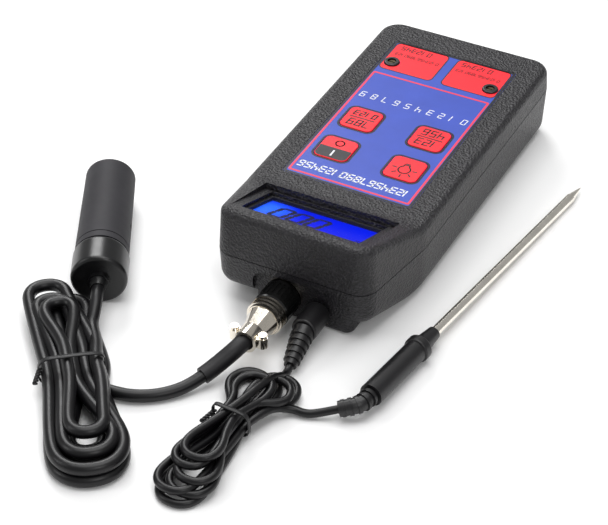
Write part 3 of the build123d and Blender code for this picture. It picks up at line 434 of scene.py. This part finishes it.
# Each row is a far loop (shift, across, radius, up), the left strand at the tie (across, up),
# a near loop (shift, across, radius, up) and the right strand at the tie (across, up).
PROBE_TURNS = (
    ((1.0, 2.0, 8.0, 2.7), (-8.6, 2.7), (0.5, 0.0, 13.4, 2.7), (9.2, 2.7)),
    ((5.0, 0.0, 6.2, 3.4), (-4.4, 2.7), (-1.5, 0.5, 9.2, 3.2), (4.6, 2.7)),
    ((3.0, 4.0, 6.2, 7.0), (0.2, 2.9), (-5.5, 0.5, 6.4, 4.6), (9.6, 7.4)),
    ((-4.5, -3.8, 7.6, 8.8), (-9.0, 7.4), (0.0, 0.4, 13.2, 7.6), (5.0, 7.6)),
    ((3.5, -3.2, 5.8, 9.6), (-4.8, 7.8), (-2.5, 0.8, 9.2, 9.0), (0.6, 8.4)),
    ((8.5, -0.8, 5.7, 11.8), (-1.6, 11.4), (-8.5, 1.2, 6.4, 11.2), (7.4, 11.0)),
)
TEMP_TURNS = (
    ((1.0, -3.0, 8.4, 1.9), (-4.8, 1.8), (0.5, 0.0, 8.4, 1.8), (4.8, 1.9)),
    ((0.0, 4.2, 8.6, 3.4), (-1.7, 2.0), (-3.0, 2.2, 8.2, 4.2), (1.7, 2.4)),
    ((3.0, -5.2, 7.6, 5.2), (-5.0, 5.0), (-0.5, -2.0, 7.6, 5.6), (4.9, 5.2)),
    ((4.0, 5.0, 7.4, 6.8), (-1.8, 5.2), (-6.0, 2.6, 7.4, 7.4), (1.8, 5.6)),
    ((6.5, -1.0, 7.0, 8.4), (-4.2, 8.0), (-9.5, -1.5, 6.4, 9.2), (3.0, 8.6)),
)
PROBE_HANK = Hank((-79.0, -125.0), (-28.8, -186.5))
PROBE_TIE_AT = 37.5        # along the hank from its far centre
TEMP_HANK = Hank((11.5, -127.0), (9.5, -184.5))
TEMP_TIE_AT = 24.2          # the same for the other hank


def wound(hank, turns, tie, spread):
    """The middle of a wound cord: strands that draw together at the tie."""
    points = []
    before = None
    for far, left, near, right in turns:
        if before:
            points += strand(hank, before, tie, -spread, 1.12)
        points += hank.far_loop(*far)
        points += strand(hank, left, tie, spread, 1.1)
        points += hank.near_loop(*near)
        before = right
    return points


def strand(hank, place, tie, spread, widen):
    across, up = place
    return [
        hank.at(tie - spread, across * widen, up),
        hank.at(tie, across, up),
        hank.at(tie + spread, across * widen, up),
    ]


def probe_cord():
    hank = PROBE_HANK
    tie = PROBE_TIE_AT
    points = list(PROBE_LEAD)
    points += [(-37.9, -154.2, 3.0), (-44.0, -153.6, 2.7)]
    points += [hank.at(tie - 2, 12.6, 2.7), hank.at(tie - 12, 12.4, 2.7)]
    points += wound(hank, PROBE_TURNS, tie, 12.0)
    points += [hank.at(tie + 12, 9.6, 11.0), hank.at(tie, 9.0, 10.4), hank.at(tie - 12, 11.0, 8.4)]
    points += PROBE_TAIL
    cord = nurbs_tube("probe_cord", points, CORD_D, MAT["cable"], "meter")
    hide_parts("probe_cable", "probe_hank", "probe_cable_tail")
    return cord


def temp_cord():
    hank = TEMP_HANK
    tie = TEMP_TIE_AT
    points = list(TEMP_LEAD)
    points += [(14.6, -122.5, 7.2), (13.4, -132.0, 10.6), (11.6, -143.0, 11.0)]
    points += [hank.at(tie, -1.2, 11.0), hank.at(tie + 10, -4.0, 10.8)]
    points += hank.near_loop(-13.0, 0.5, 6.6, 11.2)
    points += [hank.at(tie + 9, 3.4, 10.6), hank.at(tie, 2.0, 10.2), hank.at(tie - 10, 4.6, 8.6)]
    points += wound(hank, TEMP_TURNS[::-1], tie, 10.0)
    points += [hank.at(tie + 8, 5.6, 2.2), hank.at(tie, 4.8, 5.6), hank.at(tie - 8, 7.4, 6.6)]
    points += [(20.6, -136.0, 4.8)]
    points += TEMP_TAIL
    cord = nurbs_tube("temp_cord", points, WIRE_D, MAT["cable"], "temp_lead")
    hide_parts("temp_cable", "temp_hank", "temp_cable_tail")
    return cord


TIE_WIDTH, TIE_THICK = 2.0, 0.8
TIE_LOW = 0.35             # the band's lowest place over the table
TIE_STEPS = 48
# The band's cross section: (side, depth) in halves of its width and thickness.
TIE_SECTION = ((-1, 0), (-0.8, 1), (0, 0.72), (0.8, 1), (1, 0), (0, -0.4))


def tie_outline(half, top):
    """The band's path round the strands, as (across, up)."""
    outline = []
    for step in range(TIE_STEPS):
        angle = math.tau * step / TIE_STEPS
        c, q = math.cos(angle), math.sin(angle)
        across = half * math.copysign(abs(c) ** 0.55, c)
        rise = 1 + math.copysign(abs(q) ** 0.62, q)
        up = TIE_LOW + TIE_THICK / 2 + (top - TIE_LOW) / 2 * rise
        up += 0.35 * math.sin(3 * angle + 0.6) if q > 0.2 else 0.0
        outline.append((across, up))
    return outline


def tie_knot(name, hank, place, half, top, body):
    """The tie's two ends twisted together on the hank's left."""
    start = hank.at(place, 0.6 - half, top * 0.66)
    reach = hank.right * -2.6 + hank.along * 5.0 + Vector((0, 0, -2.6))
    coil = []
    for way, phase in ((range(0, 17), 0.0), (range(16, -1, -1), math.pi)):
        for step in way:
            share = step / 16
            angle = share * math.tau * 2.5 + phase
            ring = Vector((0, 0, 1)) * math.sin(angle) + hank.right * math.cos(angle)
            coil.append(start + reach * share + ring * 0.62)
    knot = nurbs_tube(name, coil, TIE_TWIST_D, MAT["tie"], body)
    return knot


def tie_band(name, hank, place, half, top, node, body):
    """A twist tie drawn tight round the strands, with its twisted ends."""
    outline = tie_outline(half, top)
    bm = bmesh.new()
    rows = []
    for k, (across, up) in enumerate(outline):
        prev, after = outline[k - 1], outline[(k + 1) % TIE_STEPS]
        run = Vector((after[0] - prev[0], after[1] - prev[1])).normalized()
        out = Vector((run.y, -run.x)) * TIE_THICK / 2
        lean = 0.9 * math.sin(math.tau * k / TIE_STEPS)
        row = []
        for side, depth in TIE_SECTION:
            along = place + side * TIE_WIDTH / 2 + lean
            spot = hank.at(along, across + out.x * depth, up + out.y * depth)
            row.append(bm.verts.new(spot * MM))
        rows.append(row)
    join_rings(bm, rows)
    band = finish_piece(from_bmesh(name, bm), MAT["tie"], body)
    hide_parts(node)
    return [band, tie_knot(name + "_knot", hank, place, half, top, body)]


probe_line = probe_cord()
temp_line = temp_cord()
probe_tie = tie_band("probe_tie", PROBE_HANK, PROBE_TIE_AT, 12.4, 14.4, "probe_hank_tie", "meter")
temp_tie = tie_band("temp_tie", TEMP_HANK, TEMP_TIE_AT, 7.4, 13.0, "temp_hank_tie", "temp_lead")

# ---- printed layers on the overlay and keys ----
def plate(name, outline, z, material, body, holes=()):
    """A flat printed layer from a closed outline of (x, y) points in metres."""
    bm = bmesh.new()
    rings = [outline, *holes]
    edges = []
    for ring in rings:
        verts = [bm.verts.new((x, y, z)) for x, y in ring]
        edges += [bm.edges.new((a, b)) for a, b in zip(verts, verts[1:] + verts[:1])]
    bmesh.ops.triangle_fill(bm, edges=edges, use_beauty=True)
    if holes:
        drop = [f for f in bm.faces if any(inside(f.calc_center_median(), h) for h in holes)]
        bmesh.ops.delete(bm, geom=drop, context="FACES")
    made = bmesh.ops.extrude_face_region(bm, geom=bm.faces[:])
    tops = [v for v in made["geom"] if isinstance(v, bmesh.types.BMVert)]
    bmesh.ops.translate(bm, verts=tops, vec=(0, 0, PRINT))
    piece = from_bmesh(name, bm, smooth=False)
    return finish_piece(piece, material, body)


def inside(point, ring):
    hit = False
    for (x0, y0), (x1, y1) in zip(ring, ring[1:] + ring[:1]):
        if (y0 > point.y) != (y1 > point.y):
            if point.x < (x1 - x0) * (point.y - y0) / (y1 - y0) + x0:
                hit = not hit
    return hit


def rounded_rect(x0, x1, y0, y1, radius, steps=6):
    points = []
    for cx, cy, start in (
        (x1 - radius, y1 - radius, 0),
        (x0 + radius, y1 - radius, 90),
        (x0 + radius, y0 + radius, 180),
        (x1 - radius, y0 + radius, 270),
    ):
        for step in range(steps + 1):
            angle = math.radians(start + 90 * step / steps)
            points.append((cx + radius * math.cos(angle), cy + radius * math.sin(angle)))
    return points


def disc(x, y, radius, steps=28):
    return [
        (x + radius * math.cos(math.tau * k / steps), y + radius * math.sin(math.tau * k / steps))
        for k in range(steps)
    ]


def ring_plate(name, outer, inner, z, material, body):
    """A closed band between two outlines with the same number of points."""
    bm = bmesh.new()
    layers = []
    for height in (z, z + PRINT):
        layers.append([[bm.verts.new((x, y, height)) for x, y in ring] for ring in (outer, inner)])
    (out_low, in_low), (out_high, in_high) = layers
    count = len(outer)
    for k in range(count):
        n = (k + 1) % count
        bm.faces.new((out_high[k], out_high[n], in_high[n], in_high[k]))
        bm.faces.new((out_low[n], out_low[k], in_low[k], in_low[n]))
        bm.faces.new((out_low[k], out_low[n], out_high[n], out_high[k]))
        bm.faces.new((in_low[n], in_low[k], in_high[k], in_high[n]))
    piece = from_bmesh(name, bm, smooth=False)
    return finish_piece(piece, material, body)


def strokes(name, lines, width, z, material, body):
    """Printed strokes of one width along open lines of (x, y) points."""
    bm = bmesh.new()
    for line in lines:
        for (x0, y0), (x1, y1) in zip(line, line[1:]):
            along = Vector((x1 - x0, y1 - y0))
            if along.length == 0:
                continue
            along.normalize()
            side = Vector((-along.y, along.x)) * width / 2
            cap = along * width * 0.3
            corners = [
                Vector((x0, y0)) - cap + side,
                Vector((x0, y0)) - cap - side,
                Vector((x1, y1)) + cap - side,
                Vector((x1, y1)) + cap + side,
            ]
            low = [bm.verts.new((c.x, c.y, z)) for c in corners]
            high = [bm.verts.new((c.x, c.y, z + PRINT)) for c in corners]
            prism(bm, low, high)
    piece = from_bmesh(name, bm, smooth=False)
    return finish_piece(piece, material, body)


# width of the black ring painted for the recess shade round the film
RECESS_SHADE_WIDTH = 1.15 * MM
FRAME_X = 26.6 * MM
FRAME_Y = (-35.4 * MM, 43.6 * MM)
FRAME_LINE = 0.95 * MM
FIELD_X = (2.4 * MM, 26.3 * MM)
FIELD_Y = (47.4 * MM, 67.8 * MM)
FIELD_BORDER = 0.45 * MM
TRIMMER_AT = (22.7 * MM, 53 * MM)
TRIMMER_HOLE_R = 3.5 * MM


def inset_rect(x0, x1, y0, y1, inset, radius):
    """A rounded rectangle with each side moved inwards, or outwards for a negative inset."""
    return rounded_rect(x0 + inset, x1 - inset, y0 + inset, y1 - inset, radius)


def overlay_prints():
    """Painted recess shade as a black ring round the film's edge, then its red frame and the two
    calibration fields.
    """
    sides = (OVERLAY_LO.x, OVERLAY_HI.x, OVERLAY_LO.y, OVERLAY_HI.y)
    # a black ring painted round the film's edge, where its recess lies in shade
    ring_plate(
        "overlay_painted_recess_shade",
        inset_rect(*sides, 0.05 * MM, 1.2 * MM),
        inset_rect(*sides, RECESS_SHADE_WIDTH, 0.8 * MM),
        OVERLAY_TOP,
        MAT["overlay_recess_shade"],
        "meter",
    )
    sides = (-FRAME_X, FRAME_X, *FRAME_Y)
    ring_plate(
        "overlay_red_frame",
        rounded_rect(*sides, 0.9 * MM),
        inset_rect(*sides, FRAME_LINE, 0.5 * MM),
        OVERLAY_TOP,
        MAT["line_red"],
        "meter",
    )
    for side, name in ((-1, "left"), (1, "right")):
        sides = (*sorted(x * side for x in FIELD_X), *FIELD_Y)
        field = rounded_rect(*sides, 2.2 * MM)
        plate(
            f"calibration_field_{name}",
            field,
            OVERLAY_TOP,
            MAT["red"],
            "meter",
            holes=(disc(TRIMMER_AT[0] * side, TRIMMER_AT[1], TRIMMER_HOLE_R),),
        )
        ring_plate(
            f"calibration_outline_{name}",
            inset_rect(*sides, -FIELD_BORDER, 2.5 * MM),
            field,
            OVERLAY_TOP,
            MAT["ink"],
            "meter",
        )


# Each segment's two ends, as shares of the digit's height.
SEGMENTS = {
    "a": ((0, 1), (0.55, 1)),
    "b": ((0.55, 1), (0.55, 0.5)),
    "c": ((0.55, 0.5), (0.55, 0)),
    "d": ((0, 0), (0.55, 0)),
    "e": ((0, 0.5), (0, 0)),
    "f": ((0, 1), (0, 0.5)),
    "g": ((0, 0.5), (0.55, 0.5)),
}
# Which segments make each digit from 0 to 9.
DIGITS = ("abcdef", "bc", "abged", "abgcd", "fgbc", "afgcd", "afgedc", "abc", "abcdefg", "abcdfg")


def digit_lines(text, x, y, height, pitch):
    """Plain digits read from the grip end: their tops point to -Y and they run to -X."""
    lines = []
    for place, sign in enumerate(text):
        if not sign.isdigit():
            continue
        for segment in DIGITS[int(sign)]:
            line = []
            for u, v in SEGMENTS[segment]:
                px = x - (place * pitch + (u + 0.12 * v) * height)
                line.append((px * MM, (y - v * height) * MM))
            lines.append(line)
    return lines


def arc_line(x, y, radius, start, end, steps=14):
    points = []
    for step in range(steps + 1):
        angle = math.radians(start + (end - start) * step / steps)
        points.append(((x + radius * math.cos(angle)) * MM, (y + radius * math.sin(angle)) * MM))
    return points


def flat_line(*points):
    return [(x * MM, y * MM) for x, y in points]


def number_rows():
    """Plain numbers where the label carries its lines of text."""
    z = OVERLAY_TOP
    rows = digit_lines("0 1 2 3 4 5 6 7 8 9", 24.0, 27.6, 3.4, 2.55)
    strokes("label_numbers_far", rows, 0.42 * MM, z, MAT["white"], "meter")
    rows = digit_lines("1234567890123456", 24.4, -27.6, 3.6, 3.1)
    strokes("label_numbers_near", rows, 0.62 * MM, z, MAT["white"], "meter")
    for side, name in ((-1, "left"), (1, "right")):
        x = 24.0 if side > 0 else -4.2
        fine = digit_lines("01234567890123", x, 60.8, 1.7, 1.45)
        bold = digit_lines("012345", x - 5.5, 66.2, 2.6, 2.4)
        strokes(f"calibration_numbers_{name}", fine, 0.26 * MM, z + PRINT, MAT["ink"], "meter")
        strokes(f"calibration_value_{name}", bold, 0.42 * MM, z + PRINT, MAT["ink"], "meter")


def bulb_lines(x, y):
    """A lamp with rays, its cap towards +Y."""
    lines = [arc_line(x, y - 0.8, 2.5, -232, 52)]
    cap = ((-1.3, 1.2), (-1.1, 2.4), (1.1, 2.4), (1.3, 1.2))
    lines.append(flat_line(*((x + dx, y + dy) for dx, dy in cap)))
    lines.append(flat_line((x - 0.8, y + 3.2), (x + 0.8, y + 3.2)))
    for angle in (-90, -40, -140, 5, 175):
        c, q = math.cos(math.radians(angle)), math.sin(math.radians(angle))
        lines.append(flat_line((x + 3.6 * c, y - 0.8 + 3.6 * q), (x + 5.2 * c, y - 0.8 + 5.2 * q)))
    return lines


KEY_LINE_OUT, KEY_LINE_IN = 1.15 * MM, 0.36 * MM
SIGN_LINE = 0.62 * MM


def key_faces():
    """Printed faces and generic signs on the four keys, with their dark outlines."""
    marks = {
        "key_light": bulb_lines,
        "key_unit": lambda x, y: [
            *digit_lines("123", x + 5.0, y - 1.2, 3.9, 3.5),
            flat_line((x - 5.4, y + 0.2), (x + 5.4, y + 0.2)),
            *digit_lines("456", x + 5.0, y + 5.6, 3.9, 3.5),
        ],
        "key_mode": lambda x, y: [
            *digit_lines("789", x + 5.0, y - 1.2, 3.9, 3.5),
            flat_line((x - 5.4, y + 0.4), (x + 5.4, y + 0.4)),
            *digit_lines("0123", x + 5.2, y + 5.0, 2.9, 2.7),
        ],
    }
    for key in ("light", "unit", "mode", "power"):
        node, body = f"key_{key}", f"{key}_key"
        lo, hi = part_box(node)
        x, y = (lo.x + hi.x) / 2 / MM, (lo.y + hi.y) / 2 / MM
        sides = (lo.x, hi.x, lo.y, hi.y)
        ring_plate(
            f"{node}_outline",
            inset_rect(*sides, -KEY_LINE_OUT, 3.6 * MM),
            inset_rect(*sides, -KEY_LINE_IN, 2.9 * MM),
            OVERLAY_TOP,
            MAT["ink"],
            "meter",
        )
        if node in marks:
            strokes(f"{node}_sign", marks[node](x, y), SIGN_LINE, hi.z, MAT["ink"], body)
    power_key_face()


def power_key_face():
    """The power key is half dark and half red, with the usual bar and ring."""
    lo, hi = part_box("key_power")
    middle = (lo.y + hi.y) / 2
    outline = inset_rect(lo.x, hi.x, lo.y, hi.y, 0.32 * MM, 2.3 * MM)
    near = [(px, min(py, middle)) for px, py in outline]
    kept = [point for k, point in enumerate(near) if point != near[k - 1]]
    plate("key_power_dark_half", kept, hi.z, MAT["grey"], "power_key")
    x = (lo.x + hi.x) / 2 / MM
    y = middle / MM
    bar = [flat_line((x, y - 5.4), (x, y - 1.9))]
    ring = [arc_line(x, y + 3.6, 1.8, 0, 360, 24)]
    strokes("key_power_bar", bar, 0.75 * MM, hi.z + PRINT, MAT["white"], "power_key")
    strokes("key_power_ring", ring, 0.6 * MM, hi.z, MAT["ink"], "power_key")


def display_plane():
    """The middle, the across direction and the up-the-ramp direction of the display glass."""
    glass = NODES["lcd_glass"].data
    face = max(glass.polygons, key=lambda f: f.normal.z)
    normal = face.normal.copy()
    lo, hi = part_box("lcd_glass")
    level = max((v.co.dot(normal) for v in glass.vertices))
    middle = Vector(((lo.x + hi.x) / 2, (lo.y + hi.y) / 2, (lo.z + hi.z) / 2))
    middle += normal * (level - middle.dot(normal))
    up = normal.cross(Vector((1, 0, 0))).normalized()
    return middle, Vector((1, 0, 0)), up, normal


DIGIT_HEIGHT, DIGIT_PITCH, DIGIT_WIDTH = 12.0, 7.6, 5.4
DIGIT_LEFT, DIGIT_LOW = -17.0, -4.8
DIGIT_SLANT = 0.13
SMALL_SIGN = (((20.4, -3.9), (23.0, -3.9)), ((20.4, -5.4), (22.2, -5.4)))


def zero_bars(left):
    """The six bars of a zero, each as its two ends."""
    right = left + DIGIT_WIDTH
    low, middle, high = DIGIT_LOW, DIGIT_LOW + DIGIT_HEIGHT / 2, DIGIT_LOW + DIGIT_HEIGHT
    return [
        ((left, low), (right, low)),
        ((left, high), (right, high)),
        ((left, low), (left, middle)),
        ((left, middle), (left, high)),
        ((right, low), (right, middle)),
        ((right, middle), (right, high)),
    ]


def display_digits():
    """Three slanted zeros and a small sign on the display glass."""
    middle, across, up, normal = display_plane()
    zeros = [bar for k in range(3) for bar in zero_bars(DIGIT_LEFT + DIGIT_PITCH * k)]
    # Each bar has its half width and how far its ends stay clear of the next bar.
    bars = [(*bar, 0.9 * MM, 0.62 * MM) for bar in zeros]
    bars += [(*bar, 0.3 * MM, 0.0) for bar in SMALL_SIGN]
    bm = bmesh.new()
    for (xa, va), (xb, vb), half, clear_by in bars:
        a = Vector((xa + DIGIT_SLANT * va, va)) * MM
        b = Vector((xb + DIGIT_SLANT * vb, vb)) * MM
        run = (b - a).normalized()
        side = Vector((-run.y, run.x)) * half
        tip = run * half * 0.8
        a += run * clear_by
        b -= run * clear_by
        corners = [a - tip, a + side, b + side, b + tip, b - side, a - side]
        foot = middle + normal * DIGIT_LIFT
        low = [bm.verts.new(foot + across * c.x + up * c.y) for c in corners]
        high = [bm.verts.new(v.co + normal * PRINT) for v in low]
        prism(bm, low, high)
    digits = from_bmesh("display_digits", bm, smooth=False)
    finish_piece(digits, MAT["segment"], "meter")


# the black rings painted for the shade in the plug's grooves
BAND_PITCH = 1.9 * MM
BAND_WIDTH = BAND_PITCH * 0.42
BAND_DEPTH = 0.4 * MM
BAND_UNDER_RINGS = 0.62 * MM     # how far the bands lie under the plug's rings
BAND_STEPS = 64


def paint_plug_groove_shade():
    """Painted shade: black rings laid in the grooves of the nickel plug, where the grooves lie in
    shade.
    """
    lo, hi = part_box("plug_shell")
    x, z = (lo.x + hi.x) / 2, (lo.z + hi.z) / 2
    nut_lo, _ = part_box("coupling_nut")
    outer = (hi.z - lo.z) / 2 - BAND_UNDER_RINGS
    inner = outer - BAND_DEPTH
    for number in range(3):
        start = nut_lo.y - 0.3 * MM - BAND_PITCH * (number + 0.5)
        end = start - BAND_WIDTH
        bm = bmesh.new()
        rings = []
        for y, radius in ((start, inner), (start, outer), (end, outer), (end, inner)):
            circle = disc(x, z, radius, BAND_STEPS)
            rings.append([bm.verts.new((px, y, pz)) for px, pz in circle])
        join_rings(bm, rings)
        # each ring is black painted for the shade at the foot of a groove
        band = from_bmesh(f"plug_groove_shade_ring_{number + 1}", bm, smooth=False)
        finish_piece(band, MAT["coupling"], "meter")


number_rows()
key_faces()
display_digits()
paint_plug_groove_shade()
overlay_prints()

# ---- camera and studio ----
EYE = mm(306.2, -667.8, 550.5)
LOOK = Vector((-0.3587, 0.6971, -0.6208))
FOCAL_PIXELS = 2217.3
FRAME_WIDTH = 608
SENSOR_WIDTH = 36.0
WORLD_STRENGTH = 0.34
FLOOR_HALF = 6.0


def make_camera():
    data = bpy.data.cameras.new("camera")
    data.sensor_width = SENSOR_WIDTH
    data.lens = FOCAL_PIXELS / FRAME_WIDTH * SENSOR_WIDTH
    data.clip_end = 20
    camera = bpy.data.objects.new("camera", data)
    camera.location = EYE
    camera.rotation_euler = LOOK.to_track_quat("-Z", "Y").to_euler()
    bpy.context.scene.collection.objects.link(camera)
    bpy.context.scene.camera = camera


def area_light(name, place, target, size, power):
    data = bpy.data.lights.new(name, "AREA")
    data.shape = "RECTANGLE"
    data.size, data.size_y = size
    data.energy = power
    light = bpy.data.objects.new(name, data)
    light.location = place
    aim = Vector(target) - Vector(place)
    light.rotation_euler = aim.to_track_quat("-Z", "Y").to_euler()
    bpy.context.scene.collection.objects.link(light)


def studio():
    """The pale floor, the white world and four soft lights."""
    bm = bmesh.new()
    bmesh.ops.create_grid(bm, x_segments=1, y_segments=1, size=FLOOR_HALF)
    floor = from_bmesh("studio_floor", bm, smooth=False)
    s = Shader("studio_floor")
    s.colour(s.ramp(s.noise(2.0, 2.0), (0.93, 0.93, 0.93), (0.95, 0.95, 0.95)))
    s.rough(s.span(s.noise(8.0, 2.0), 0.75, 0.85))
    floor.data.materials.append(s.material)
    world = bpy.data.worlds.new("studio")
    bpy.context.scene.world = world
    world.use_nodes = True
    background = world.node_tree.nodes["Background"]
    background.inputs["Color"].default_value = (1, 1, 1, 1)
    background.inputs["Strength"].default_value = WORLD_STRENGTH
    area_light("top", (0.0, 0.15, 1.7), (0, -0.05, 0), (1.3, 1.3), 20)
    area_light("back_left", (-0.75, 0.75, 0.95), (0, -0.05, 0), (0.6, 0.6), 9)
    area_light("front_right", (0.8, -0.75, 0.9), (0, -0.08, 0), (0.3, 0.5), 3)
    area_light("front_left", (-0.9, -0.7, 0.7), (-0.03, -0.1, 0), (0.25, 0.6), 2.5)
    bpy.context.scene.view_settings.view_transform = "Standard"


make_camera()
studio()

bpy.context.view_layer.update()
